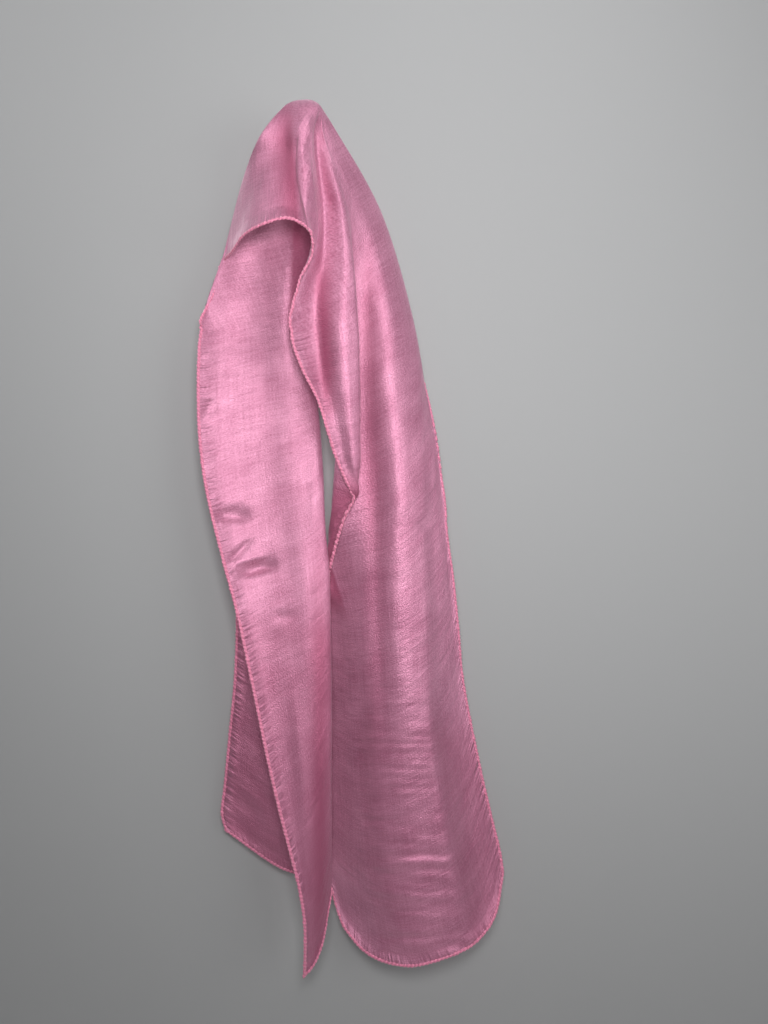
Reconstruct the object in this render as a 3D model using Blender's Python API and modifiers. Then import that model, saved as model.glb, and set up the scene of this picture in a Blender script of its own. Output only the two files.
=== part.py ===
"""Silk scarf on a wall peg.

One long narrow rectangle of silk hangs by its middle over a small turned wall peg. Round the peg the cloth
falls as a folded cone, the hood, and from it hang a left tail and a right tail.

Frame: the wall is the plane y = 0, +X runs to the right along the wall, +Z is up and -Y comes out of the
wall. The origin is the middle of the back of the peg's plate. Tables are in millimetres.
"""

import math

import bmesh
import bpy
from mathutils import Vector

MM = 0.001

# Peg
PLATE_RADIUS = 10.0
PLATE_THICKNESS = 3.0
PLATE_CHAMFER = 0.8
STEM_RADIUS = 2.2
STEM_FILLET = 1.5
KNOB_RADIUS = 5.0
KNOB_OUT = 38.0
KNOB_POINTS = 9
KNOB_TURN = 140.0
TURNED_STEPS = 32

# Cloth
CLOTH_THICKNESS = 1.0
PEAK_OUT = 40.0
PEAK_HEIGHT = 7.2
SEAM_GAP = 0.45

# The front outline in the tables is read at the peak's distance from the wall, by an eye at this place,
# measured from the peak. A point that lies nearer or farther is moved along its line of sight.
EYE_ACROSS = 46.0
EYE_DISTANCE = 443.0
EYE_HEIGHT = -247.0

# Ovals that the cloth follows over the knob: how low, then its half widths to the left, right, front, back.
# Behind the knob they rise on to the stem.
CAP_OVAL = (-1.2, 8.5, 4.5, 4.0, 4.5)
SHOULDER_OVAL = (-5.0, 14.5, 8.6, 7.8, 8.5)
UPPER_OVAL = (-20.0, 26.5, 17.5, 12.0, 20.0)
OVER_STEM_HEIGHT = -3.6
OVER_STEM_ANGLE = 140.0
HIDDEN_ANGLE = 100.0
LEFT_FLATNESS = 0.72

# Lines of the hood, from the middle of the front round to the right, the back and the left.
# angle round the peg, across at the upper oval | halfway: across, height, out | edge: across, height, out
# The back is out of sight, so its places are true ones.
HOOD_FRONT_RIGHT = (
    (0, -8.0, -10.0, -33.0, 53.0, -12.0, -71.5, 63.0),
    (12, -5.5, -5.5, -36.0, 50.0, -3.5, -75.0, 58.0),
    (22, -3.5, -6.3, -41.0, 56.0, 2.4, -81.5, 61.0),
    (33, -0.5, 2.0, -45.0, 54.0, 3.0, -93.5, 57.0),
    (43, 2.0, 3.6, -54.0, 52.0, -5.4, -110.5, 54.0),
)
HOOD_TO_RIGHT_TAIL = (
    (52, 3.5, 4.2, -69.0, 50.0, -10.0, -138.0, 51.0),
    (60, 5.0, 10.0, -69.0, 44.0, 9.5, -138.0, 44.0),
    (67, 7.5, 20.0, -67.0, 48.0, 24.0, -138.0, 50.0),
    (72, 9.0, 23.5, -67.0, 45.5, 30.5, -138.0, 47.0),
    (78, 8.5, 17.5, -67.0, 41.0, 21.0, -138.0, 42.5),
    (86, 11.5, 28.0, -67.0, 35.0, 36.5, -138.0, 35.0),
    (95, 15.0, 36.0, -67.0, 34.0, 51.0, -138.0, 36.0),
    (106, 18.0, 44.0, -67.0, 22.0, 64.5, -138.0, 20.0),
    (116, 17.0, 41.0, -66.0, 13.0, 63.0, -138.0, 12.0),
    (126, 15.0, 35.0, -62.0, 8.0, 58.0, -138.0, 7.0),
)
HOOD_BACK = (
    (138, 12.0, 20.0, -40.0, 14.0, 32.0, -88.0, 6.0),
    (152, 9.0, 11.5, -22.0, 16.0, 14.0, -42.0, 5.0),
    (166, 5.5, 6.5, -8.5, 16.0, 7.0, -13.0, 4.5),
    (180, 0.0, 0.0, -3.6, 16.0, 0.0, -3.6, 4.5),
    (194, -5.5, -6.5, -8.5, 16.0, -7.0, -13.0, 4.5),
    (208, -9.0, -10.5, -20.0, 16.0, -13.0, -42.0, 5.0),
    (222, -13.0, -13.5, -32.0, 16.0, -31.0, -88.0, 6.0),
)
HOOD_TO_LEFT_TAIL = (
    (234, -17.0, -12.5, -58.0, 13.0, -42.0, -138.0, 7.0),
    (246, -19.0, -8.0, -64.0, 9.0, -20.0, -138.0, 5.0),
    (256, -19.0, 1.0, -64.0, 12.0, 1.0, -138.0, 8.0),
    (266, -19.0, 3.0, -60.0, 17.0, 3.0, -138.0, 14.0),
    (276, -19.5, -10.5, -60.0, 29.0, -11.5, -138.0, 27.0),
    (286, -21.0, -22.0, -60.0, 24.0, -28.0, -138.0, 21.0),
    (294, -23.0, -31.0, -58.0, 26.0, -46.0, -138.0, 23.0),
    (302, -25.0, -36.0, -58.0, 29.0, -64.0, -138.0, 31.0),
)
HOOD_FRONT_LEFT = (
    (309, -26.0, -37.0, -52.0, 30.0, -57.0, -119.0, 28.0),
    (316, -27.0, -36.8, -43.0, 32.0, -51.0, -98.5, 25.0),
    (324, -25.5, -32.5, -39.0, 39.0, -45.5, -92.0, 36.0),
    (334, -21.0, -25.0, -36.0, 46.0, -38.0, -81.5, 50.0),
    (347, -14.0, -17.5, -34.0, 51.0, -25.0, -74.5, 60.0),
)

TAIL_TOP = -138.0

# Right tail, a row for each section, top to bottom: height at the near hem, then across and out of the
# near hem, flap valley, flap crest, flap fold, inner fold, hollow, ridge, right edge, turn and far hem.
RIGHT_TAIL = (
    (-138, -10, 51, 9.5, 44, 24, 50, 30.5, 47, 21, 42.5, 36.5, 35, 51, 36, 64.5, 20, 63, 12, 58, 7),
    (-159, -4.5, 48, 12, 42, 25, 47, 31, 44, 20, 39.5, 37.5, 34, 52, 36, 67, 23, 68.5, 15, 66, 9),
    (-179, 5.5, 45, 16, 41, 26, 45, 31.5, 42, 19, 37, 38, 32, 53, 36, 67.5, 26, 71, 19, 71.8, 13),
    (-198, 11.5, 42, 19, 40, 27, 43, 31.5, 39.5, 18, 34.5, 39, 31, 54, 36, 68, 28, 74, 21, 76, 16),
    (-214, 16.5, 39, 22.5, 39, 28, 41, 31.5, 37, 16.5, 32, 40, 31, 55, 36, 69, 29, 76, 23, 78.5, 18),
    (-232, 24.5, 36.5, 28.5, 37, 30.5, 34.5, 26, 32, 15, 29, 40, 31, 56, 37, 70, 30, 77.5, 23, 80.7, 18),
    (-238, 28.5, 35.5, 26.5, 33, 23, 31.5, 19, 30.5, 14.5, 27.5, 39, 31, 56, 37, 70, 30, 78, 23, 81.6, 18),
    (-249, 23.5, 32, 21, 30.5, 18.5, 29, 15.5, 27.5, 13, 24.5, 38, 31.5, 56, 37, 70, 30, 79, 23, 83, 18),
    (-264, 18.5, 28, 16, 26.5, 13.5, 25, 11.5, 22.5, 14, 20, 36, 32, 55, 38, 70, 31, 80, 24, 83.7, 19),
    (-276, 15.5, 24, 13, 22.5, 11.3, 20, 12.5, 17.5, 18, 19, 36, 32, 55, 38, 71, 31, 81, 24, 85, 18),
    (-294, 10.8, 17.5, 11.5, 15.5, 14, 16, 18, 18.5, 24, 24, 38, 34, 55, 39, 72, 32, 82, 24, 87.5, 17),
    (-330, 6.5, 10, 11, 12, 16, 16, 22, 21, 29, 27, 41, 36, 56, 40, 73, 33, 84, 23, 91, 16),
    (-360, 4, 7, 10, 9.5, 16, 14, 23, 20, 31, 27, 43, 37, 58, 41, 74, 34, 86, 22, 93.5, 14),
    (-420, 6, 6, 13, 10, 20, 15, 27, 21, 36, 29, 49, 38, 64, 41, 82, 36, 95, 21, 104.5, 12),
    (-450, 9, 6, 16, 10, 23, 15, 31, 21, 40, 29, 54, 38, 70, 41, 88, 36, 102, 21, 111, 12),
    (-472, 14, 8, 20, 12, 27, 17, 35, 23, 44, 30, 58, 38, 74, 41, 92, 36, 107, 22, 116, 13),
    (-485, 17.5, 11, 21, 15, 27, 20, 34, 25, 45, 32, 62, 38, 80, 40, 98, 34, 111, 23, 117.5, 14),
)
RIGHT_TAIL_END = (-485, -494.5, -503, -510.5, -516.5, -519.5, -515, -504, -487, -470.5)

# Left tail, in the same way: near hem, left part, middle, crease, right fold, its back, back layer, far hem.
LEFT_TAIL = (
    (-138, -64, 31, -46, 23, -28, 21, -11.5, 27, 3, 14, 1, 8, -20, 5, -42, 7),
    (-156, -65.7, 33, -46, 25, -27, 23, -9, 26, 4, 18, 1, 10, -20, 6, -43, 7),
    (-180, -66, 34, -46, 28, -26, 25, -7, 26, 5, 20, 3, 13, -20, 7, -46, 8),
    (-207, -64.8, 34, -45, 29, -25, 27, -5, 28, 7.3, 24, 5.5, 17, -19, 9, -48, 8),
    (-234, -61, 36, -42, 31, -23, 29, -3, 30, 9, 27, 7, 20, -18, 11, -50, 8),
    (-276, -51, 40, -36, 35, -18, 33, 0, 34, 10.7, 30.5, 8, 25, -17, 13, -50, 9),
    (-306, -43, 43, -29, 39, -13, 38, 3, 38, 13, 33, 10.5, 27, -15, 15, -48, 9),
    (-348, -34, 46, -22, 42, -8, 41, 5, 40, 13.8, 35, 11.5, 28, -13, 17, -43, 10),
    (-408, -21.5, 48, -12, 45, -1, 44, 8, 42, 14.4, 36, 12.5, 28, -13, 17, -43.8, 10),
    (-449, -11.4, 48, -4, 46, 4, 44, 10.5, 41, 14.4, 35, 12.5, 28, -14, 17, -46.8, 9),
    (-470, -6, 47, -0.5, 45.5, 6, 43, 11.5, 40, 14.4, 34, 12.5, 27, -14.5, 17, -48.3, 9),
    (-492, -2.4, 45, 1.5, 44, 7, 42, 12, 38, 14.4, 32, 12, 26, -15, 16, -50, 9),
    (-513, -2, 42, 2.5, 41, 8, 39, 12, 35, 14.2, 30, 11, 24, -15, 16, -51.6, 9),
    (-526, -2.4, 38, 3.6, 37, 9, 35, 12.3, 32, 14, 28, 9, 22, -15, 15, -49, 9),
)
LEFT_TAIL_END = (-526, -519.6, -507, -489, -473, -468, -461, -438)

LINE_STEPS = 12
HOOD_ROWS = 12
ROW_CROWDING = 1.5
TAIL_ROWS_PER_SECTION = 2
POINTS_BETWEEN_LINES = 3

SILK_PINK = (0.72, 0.24, 0.42, 1.0)
SILK_ROUGHNESS = 0.38
PEG_WHITE = (0.78, 0.77, 0.74, 1.0)
PEG_ROUGHNESS = 0.45


def clear_scene():
    for thing in list(bpy.data.objects):
        bpy.data.objects.remove(thing, do_unlink=True)


def in_place(across, height, out):
    """A table's point as a place in the frame, in metres, moved along its line of sight."""
    scale = (EYE_DISTANCE + PEAK_OUT - out) / EYE_DISTANCE
    x = EYE_ACROSS + (across - EYE_ACROSS) * scale
    z = EYE_HEIGHT + (height - EYE_HEIGHT) * scale + PEAK_HEIGHT
    return Vector((x, -out, z)) * MM


def curve_through(points, closed, steps):
    """A smooth curve through the points, with each gap between two points cut into equal steps."""
    count = len(points)
    gaps = count if closed else count - 1
    curve = []
    for gap in range(gaps):
        if closed:
            four = [points[(gap + shift) % count] for shift in (-1, 0, 1, 2)]
        else:
            before = points[gap - 1] if gap > 0 else points[0] * 2 - points[1]
            after = points[gap + 2] if gap + 2 < count else points[-1] * 2 - points[-2]
            four = [before, points[gap], points[gap + 1], after]
        for step in range(steps):
            curve.append(between(four, step / steps))
    if not closed:
        curve.append(points[-1].copy())
    return curve


def between(four, share):
    """The place a share of the way from the second point to the third, on a curve through all four."""
    knots = [0.0]
    for first, second in zip(four, four[1:]):
        knots.append(knots[-1] + max((second - first).length, 1e-6) ** 0.5)
    here = knots[1] + (knots[2] - knots[1]) * share
    layer = list(four)
    for width in (1, 2, 3):
        joined = []
        for index in range(len(layer) - 1):
            low = knots[index] if width < 3 else knots[1]
            high = knots[index + width] if width < 3 else knots[2]
            part = (here - low) / (high - low)
            joined.append(layer[index].lerp(layer[index + 1], part))
        layer = joined
    return layer[0]


def at_true_place(across, height, out):
    """A table's point that is already a true place, measured from the peak."""
    return Vector((across, -out, height + PEAK_HEIGHT)) * MM


def eased(value, low, high):
    share = min(max((value - low) / (high - low), 0.0), 1.0)
    return share * share * (3 - 2 * share)


def oval_point(oval, angle, across=None):
    """Where a line of the hood crosses one of the ovals over the knob."""
    low, left, right, front, back = oval
    sideways = math.sin(math.radians(angle))
    forwards = math.cos(math.radians(angle))
    if across is None:
        across = sideways * right if sideways > 0 else -left * min(1.0, -sideways / LEFT_FLATNESS)
    out = PEAK_OUT + forwards * (front if forwards > 0 else back)
    from_front = 180 - abs(180 - angle)
    rise = max(0.0, OVER_STEM_HEIGHT - low) * eased(from_front, OVER_STEM_ANGLE, 180)
    seen = in_place(across, low, out)
    return seen.lerp(at_true_place(across, low + rise, out), eased(from_front, HIDDEN_ANGLE, OVER_STEM_ANGLE))


def hood_lines():
    """Each line of the hood as points from the peak down to the edge."""
    peak = in_place(0.0, 0.0, PEAK_OUT)
    lines = []
    for row in HOOD_FRONT_RIGHT + HOOD_TO_RIGHT_TAIL + HOOD_BACK + HOOD_TO_LEFT_TAIL + HOOD_FRONT_LEFT:
        angle, upper_across = row[:2]
        lower_place = at_true_place if row in HOOD_BACK else in_place
        points = [peak, oval_point(CAP_OVAL, angle), oval_point(SHOULDER_OVAL, angle)]
        points += [oval_point(UPPER_OVAL, angle, upper_across), lower_place(*row[2:5]), lower_place(*row[5:8])]
        lines.append(spread(curve_through(points, False, LINE_STEPS), HOOD_ROWS))
    return lines


def spread(curve, rows):
    """The same curve as rows + 1 points, closer together near its start at the peak."""
    travelled = [0.0]
    for first, second in zip(curve, curve[1:]):
        travelled.append(travelled[-1] + (second - first).length)
    points = []
    at = 0
    for row in range(rows + 1):
        wanted = travelled[-1] * (row / rows) ** ROW_CROWDING
        while at < len(curve) - 2 and travelled[at + 1] < wanted:
            at += 1
        part = (wanted - travelled[at]) / (travelled[at + 1] - travelled[at])
        points.append(curve[at].lerp(curve[at + 1], min(max(part, 0.0), 1.0)))
    return points


def tail_grid(table, end_heights):
    """The rows of a tail, from its table of sections and the height that each line ends at."""
    near_end = table[-1][0]
    sections = []
    for row in table:
        share = (row[0] - TAIL_TOP) / (near_end - TAIL_TOP)
        section = []
        for line, end_height in enumerate(end_heights):
            height = TAIL_TOP + (end_height - TAIL_TOP) * share
            section.append(in_place(row[1 + 2 * line], height, row[2 + 2 * line]))
        sections.append(section)
    lines = [curve_through(list(line), False, TAIL_ROWS_PER_SECTION) for line in zip(*sections)]
    rows = [curve_through(list(row), False, POINTS_BETWEEN_LINES) for row in zip(*lines)]
    return rows


def cloth(name, rows, closed, colour, collection, peak=None):
    """A wall of cloth over rows of points."""
    shape = bmesh.new()
    grid = [[shape.verts.new(point) for point in row] for row in rows]
    columns = len(rows[0])
    last = columns if closed else columns - 1
    for upper, lower in zip(grid, grid[1:]):
        for column in range(last):
            after = (column + 1) % columns
            shape.faces.new((upper[column], lower[column], lower[after], upper[after]))
    if peak is not None:
        tip = shape.verts.new(peak)
        for column in range(last):
            shape.faces.new((tip, grid[0][column], grid[0][(column + 1) % columns]))
    mesh = bpy.data.meshes.new(name)
    shape.to_mesh(mesh)
    shape.free()
    mesh.shade_smooth()
    piece = bpy.data.objects.new(name, mesh)
    collection.objects.link(piece)
    wall = piece.modifiers.new("wall", "SOLIDIFY")
    wall.thickness = CLOTH_THICKNESS * MM
    wall.offset = 0.0
    piece.data.materials.append(colour)
    return piece


def material(name, colour, roughness):
    paint = bpy.data.materials.new(name)
    paint.use_nodes = True
    shader = paint.node_tree.nodes["Principled BSDF"]
    shader.inputs["Base Color"].default_value = colour
    shader.inputs["Roughness"].default_value = roughness
    shader.inputs["Metallic"].default_value = 0.0
    return paint


def wall_peg(collection):
    """Plate, stem and knob turned in one piece. The profile runs from the knob's end to the plate's back."""
    profile = []
    for point in range(KNOB_POINTS):
        turn = math.radians(KNOB_TURN * point / (KNOB_POINTS - 1))
        profile.append((KNOB_RADIUS * math.sin(turn), KNOB_OUT + KNOB_RADIUS * math.cos(turn)))
    neck = profile[-1][1]
    profile.append((STEM_RADIUS, neck - STEM_FILLET))
    profile.append((STEM_RADIUS, PLATE_THICKNESS + STEM_FILLET))
    profile.append((STEM_RADIUS + STEM_FILLET, PLATE_THICKNESS))
    profile.append((PLATE_RADIUS - PLATE_CHAMFER, PLATE_THICKNESS))
    profile.append((PLATE_RADIUS, PLATE_THICKNESS - PLATE_CHAMFER))
    profile.append((PLATE_RADIUS, 0.0))
    profile.append((0.0, 0.0))
    mesh = bpy.data.meshes.new("wall_peg")
    points = [(radius * MM, 0.0, out * MM) for radius, out in profile]
    mesh.from_pydata(points, [(i, i + 1) for i in range(len(points) - 1)], [])
    peg = bpy.data.objects.new("wall_peg", mesh)
    collection.objects.link(peg)
    turned = peg.modifiers.new("turned", "SCREW")
    turned.steps = TURNED_STEPS
    turned.render_steps = TURNED_STEPS
    turned.use_merge_vertices = True
    turned.merge_threshold = 0.01 * MM
    peg.rotation_euler = (math.radians(90), 0.0, 0.0)
    peg.data.materials.append(material("peg_paint", PEG_WHITE, PEG_ROUGHNESS))
    return peg


def main():
    clear_scene()
    collection = bpy.data.collections.new("silk_scarf_on_wall_peg")
    bpy.context.scene.collection.children.link(collection)
    silk = material("pink_silk", SILK_PINK, SILK_ROUGHNESS)

    lines = hood_lines()
    rings = [curve_through(list(ring), True, POINTS_BETWEEN_LINES) for ring in zip(*lines)]
    peak = lines[0][0]
    cloth("scarf_hood", rings[1:], True, silk, collection, peak)

    edge = rings[-1]
    drop = Vector((0.0, 0.0, -SEAM_GAP * MM))
    right_first = len(HOOD_FRONT_RIGHT)
    left_first = right_first + len(HOOD_TO_RIGHT_TAIL) + len(HOOD_BACK)
    right_rows = tail_grid(RIGHT_TAIL, RIGHT_TAIL_END)
    start = right_first * POINTS_BETWEEN_LINES
    right_rows[0] = [point + drop for point in edge[start:start + len(right_rows[0])]]
    cloth("scarf_right_tail", right_rows, False, silk, collection)

    left_rows = tail_grid(LEFT_TAIL, LEFT_TAIL_END)
    start = left_first * POINTS_BETWEEN_LINES
    shared = [point + drop for point in edge[start:start + len(left_rows[0])]]
    left_rows[0] = shared[::-1]
    cloth("scarf_left_tail", left_rows, False, silk, collection)

    wall_peg(collection)


main()
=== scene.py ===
"""Silk scarf on a wall peg: the looks.

The frame is the model's own: the wall is the plane y = 0, +X runs to the right, +Z is up, -Y comes out of
the wall, and the origin is the middle of the back of the peg's plate. The silk's tables are in millimetres.
"""

import math

import bpy
import numpy as np
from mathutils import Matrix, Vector, noise


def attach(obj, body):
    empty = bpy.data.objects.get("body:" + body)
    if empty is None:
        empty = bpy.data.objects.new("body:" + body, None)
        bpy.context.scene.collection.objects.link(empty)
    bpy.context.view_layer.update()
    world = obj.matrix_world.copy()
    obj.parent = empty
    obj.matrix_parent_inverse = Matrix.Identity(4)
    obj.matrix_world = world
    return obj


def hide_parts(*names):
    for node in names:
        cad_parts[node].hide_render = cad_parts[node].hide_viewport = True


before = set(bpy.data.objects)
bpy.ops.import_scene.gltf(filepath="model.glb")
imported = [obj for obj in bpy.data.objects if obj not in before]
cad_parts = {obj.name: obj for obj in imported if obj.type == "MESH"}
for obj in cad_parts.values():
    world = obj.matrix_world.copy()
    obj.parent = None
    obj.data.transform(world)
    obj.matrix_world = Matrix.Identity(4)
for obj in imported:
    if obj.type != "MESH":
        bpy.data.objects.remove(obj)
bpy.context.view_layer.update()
bpy.ops.object.select_all(action="DESELECT")
MM = 0.001


# The view
# The eye stands level in front of the scarf, a little to the right of the peg and about as high as the
# scarf's middle. The silk's outline is read at the peak's distance from the wall, seen from this eye.
EYE_ACROSS = 46.0
EYE_DISTANCE = 443.0
EYE_HEIGHT = -247.0
PEAK_OUT = 40.0
PEAK_HEIGHT = 7.2
SENSOR = 36.0
FOCUS = 26.0
NEAREST_SEEN = 0.01

eye_data = bpy.data.cameras.new("eye")
eye_data.sensor_width = SENSOR
eye_data.lens = FOCUS
eye_data.clip_start = NEAREST_SEEN
eye = bpy.data.objects.new("eye", eye_data)
eye.location = Vector((EYE_ACROSS, -EYE_DISTANCE - PEAK_OUT, EYE_HEIGHT + PEAK_HEIGHT)) * MM
eye.rotation_euler = (math.radians(90), 0, 0)
bpy.context.scene.collection.objects.link(eye)
bpy.context.scene.camera = eye


# Silk scarf
# One long narrow rectangle of thin pink silk, cut on the straight of the weave. Nothing is sewn in it but
# its edge. It hangs by a point near its middle, so it falls as a folded cone, the hood, and two tails.
SCARF_WIDTH = 130.0
PEAK_FROM_NEAR_HEM = 84.0
SILK_THICKNESS = 0.45

# Ovals that the cloth follows over the knob: how low, then its half widths to the left, right, front, back.
# Behind the knob they rise on to the stem.
CAP_OVAL = (-1.2, 8.5, 4.5, 4.0, 4.5)
SHOULDER_OVAL = (-5.0, 14.5, 8.6, 7.8, 8.5)
UPPER_OVAL = (-20.0, 26.5, 17.5, 12.0, 20.0)
OVER_STEM_HEIGHT = -3.6
OVER_STEM_ANGLE = 140.0
HIDDEN_ANGLE = 100.0
LEFT_FLATNESS = 0.72
HALFWAY_VALUES = slice(2, 5)
EDGE_VALUES = slice(5, 8)

# Lines of the hood, from the middle of the front round to the right, the back and the left.
# angle round the peg, across at the upper oval | halfway: across, height, out | edge: across, height, out
# The back is out of sight, so its places are true ones.
HOOD_FRONT_RIGHT = (
    (0, -8.0, -10.0, -33.0, 53.0, -12.0, -71.5, 63.0),
    (12, -5.5, -5.5, -36.0, 50.0, -3.5, -75.0, 58.0),
    (22, -3.5, -6.3, -41.0, 56.0, 2.4, -81.5, 61.0),
    (33, -0.5, 2.0, -45.0, 54.0, 3.0, -93.5, 57.0),
    (43, 2.0, 5.5, -82.0, 52.5, -5.4, -110.5, 54.0),
)
HOOD_TO_RIGHT_TAIL = (
    (52, 3.5, 6.2, -86.0, 50.0, -10.0, -138.0, 51.0),
    (60, 5.0, 10.0, -69.0, 44.0, 9.5, -138.0, 44.0),
    (67, 7.5, 20.0, -67.0, 48.0, 24.0, -138.0, 50.0),
    (72, 9.0, 23.5, -67.0, 45.5, 30.5, -138.0, 47.0),
    (78, 10.0, 25.5, -67.0, 43.0, 21.0, -138.0, 42.5),
    (86, 12.5, 29.0, -67.0, 40.0, 36.5, -138.0, 35.0),
    (95, 15.0, 36.0, -67.0, 34.0, 51.0, -138.0, 36.0),
    (106, 18.0, 44.0, -67.0, 22.0, 64.5, -138.0, 20.0),
    (116, 17.0, 41.0, -66.0, 13.0, 63.0, -138.0, 12.0),
    (126, 15.0, 35.0, -62.0, 8.0, 58.0, -138.0, 7.0),
)
HOOD_BACK = (
    (138, 12.0, 20.0, -40.0, 14.0, 32.0, -88.0, 6.0),
    (152, 9.0, 11.5, -22.0, 16.0, 14.0, -42.0, 5.0),
    (166, 5.5, 6.5, -8.5, 16.0, 7.0, -13.0, 4.5),
    (180, 0.0, 0.0, -3.6, 16.0, 0.0, -3.6, 4.5),
    (194, -5.5, -6.5, -8.5, 16.0, -7.0, -13.0, 4.5),
    (208, -9.0, -10.5, -20.0, 16.0, -13.0, -42.0, 5.0),
    (222, -13.0, -13.5, -32.0, 16.0, -31.0, -88.0, 6.0),
)
HOOD_TO_LEFT_TAIL = (
    (234, -17.0, -12.5, -58.0, 13.0, -42.0, -138.0, 7.0),
    (246, -19.0, -8.0, -64.0, 9.0, -20.0, -138.0, 5.0),
    (256, -19.0, 1.0, -64.0, 12.0, 1.0, -138.0, 8.0),
    (266, -19.0, 3.0, -60.0, 17.0, 3.0, -138.0, 14.0),
    (276, -19.5, -10.5, -60.0, 29.0, -11.5, -138.0, 27.0),
    (286, -21.0, -22.0, -60.0, 24.0, -28.0, -138.0, 21.0),
    (294, -23.0, -31.0, -58.0, 26.0, -46.0, -138.0, 23.0),
    (302, -25.0, -36.0, -58.0, 29.0, -64.0, -138.0, 31.0),
)
HOOD_FRONT_LEFT = (
    (309, -26.0, -37.0, -52.0, 30.0, -57.0, -119.0, 28.0),
    (316, -27.0, -36.8, -43.0, 32.0, -51.0, -98.5, 25.0),
    (324, -25.5, -32.5, -39.0, 39.0, -45.5, -92.0, 36.0),
    (334, -21.0, -25.0, -36.0, 46.0, -38.0, -81.5, 50.0),
    (347, -14.0, -17.5, -34.0, 51.0, -25.0, -74.5, 60.0),
)

# Right tail, a row for each section, top to bottom: height at the near hem, then across and out of the
# near hem, flap valley, flap crest, flap fold, inner fold, hollow, ridge, right edge, turn and far hem.
RIGHT_TAIL = (
    (-138, -10, 51, 9.5, 44, 24, 50, 30.5, 47, 21, 42.5, 36.5, 35, 51, 36, 64.5, 20, 63, 12, 58, 7),
    (-159, -4.5, 48, 12, 42, 25, 47, 31, 44, 20, 39.5, 37.5, 34, 52, 36, 67, 23, 68.5, 15, 66, 9),
    (-179, 5.5, 45, 16, 41, 26, 45, 31.5, 42, 19, 37, 38, 32, 53, 36, 67.5, 26, 71, 19, 71.8, 13),
    (-198, 11.5, 42, 19, 40, 27, 43, 31.5, 39.5, 18, 34.5, 39, 31, 54, 36, 68, 28, 74, 21, 76, 16),
    (-214, 16.5, 39, 22.5, 39, 28, 41, 31.5, 37, 16.5, 32, 40, 31, 55, 36, 69, 29, 76, 23, 78.5, 18),
    (-232, 24.5, 36.5, 28.5, 37, 30.5, 34.5, 26, 32, 15, 29, 40, 31, 56, 37, 70, 30, 77.5, 23, 80.7, 18),
    (-238, 28.5, 35.5, 26.5, 33, 23, 31.5, 19, 30.5, 14.5, 27.5, 39, 31, 56, 37, 70, 30, 78, 23, 81.6, 18),
    (-249, 23.5, 32, 21, 30.5, 18.5, 29, 15.5, 27.5, 13, 24.5, 38, 31.5, 56, 37, 70, 30, 79, 23, 83, 18),
    (-264, 18.5, 28, 16, 26.5, 13.5, 25, 11.5, 22.5, 14, 20, 36, 32, 55, 38, 70, 31, 80, 24, 83.7, 19),
    (-276, 15.5, 24, 13, 22.5, 11.3, 20, 12.5, 17.5, 18, 19, 36, 32, 55, 38, 71, 31, 81, 24, 85, 18),
    (-294, 10.8, 17.5, 11.5, 15.5, 14, 16, 18, 18.5, 24, 24, 38, 34, 55, 39, 72, 32, 82, 24, 87.5, 17),
    (-330, 6.5, 10, 11, 12, 16, 16, 22, 21, 29, 27, 41, 36, 56, 40, 73, 33, 84, 23, 91, 16),
    (-360, 4, 7, 10, 9.5, 16, 14, 23, 20, 31, 27, 43, 37, 58, 41, 74, 34, 86, 22, 93.5, 14),
    (-420, 6, 6, 13, 10, 20, 15, 27, 21, 36, 29, 49, 38, 64, 41, 82, 36, 95, 21, 104.5, 12),
    (-450, 9, 6, 16, 10, 23, 15, 31, 21, 40, 29, 54, 38, 70, 41, 88, 36, 102, 21, 111, 12),
    (-472, 14, 8, 20, 12, 27, 17, 35, 23, 44, 30, 58, 38, 74, 41, 92, 36, 107, 22, 116, 13),
    (-485, 17.5, 11, 21, 15, 27, 20, 34, 25, 45, 32, 62, 38, 80, 40, 99.5, 34, 112.5, 23, 117.8, 14),
)
RIGHT_TAIL_END = (-485, -494.5, -503, -510.5, -516.5, -519.5, -515.5, -506.5, -490, -463)

# Left tail, in the same way: near hem, left part, middle, crease, right fold, its back, back layer, far hem.
LEFT_TAIL = (
    (-138, -64, 31, -46, 23, -28, 21, -11.5, 27, 3, 14, 1, 8, -20, 5, -42, 7),
    (-156, -65.7, 33, -46, 25, -27, 23, -9, 26, 4, 18, 1, 10, -20, 6, -43, 7),
    (-180, -66, 34, -46, 28, -26, 25, -7, 26, 5, 20, 3, 13, -20, 7, -46, 8),
    (-207, -64.8, 34, -45, 29, -25, 27, -5, 28, 7.3, 24, 5.5, 17, -19, 9, -48, 8),
    (-234, -61, 36, -42, 31, -23, 29, -3, 30, 9, 27, 7, 20, -18, 11, -50, 8),
    (-276, -51, 40, -36, 35, -18, 33, 0, 34, 10.7, 30.5, 8, 25, -17, 13, -50, 9),
    (-306, -43, 43, -29, 39, -13, 38, 3, 38, 13, 33, 10.5, 27, -15, 15, -48, 9),
    (-348, -34, 46, -22, 42, -8, 41, 5, 40, 13.8, 35, 11.5, 28, -13, 17, -43, 10),
    (-408, -21.5, 48, -12, 45, -1, 44, 8, 42, 14.4, 36, 12.5, 28, -13, 17, -43.8, 10),
    (-449, -11.4, 48, -4, 46, 4, 44, 10.5, 41, 14.4, 35, 12.5, 28, -14, 17, -46.8, 9),
    (-470, -6, 47, -0.5, 45.5, 6, 43, 11.5, 40, 14.4, 34, 12.5, 27, -14.5, 17, -48.3, 9),
    (-492, -2.4, 45, 1.5, 44, 7, 42, 12, 38, 14.4, 32, 12, 26, -15, 16, -50, 9),
    (-513, -2, 42, 2.5, 41, 8, 39, 12, 35, 14.2, 30, 11, 24, -15, 16, -51.6, 9),
    (-526, -2.4, 38, 3.6, 37, 9, 35, 12.3, 32, 14, 28, 9, 22, -15, 15, -49, 9),
)
LEFT_TAIL_END = (-526, -519.6, -507, -489, -473, -468, -461, -438)

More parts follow.
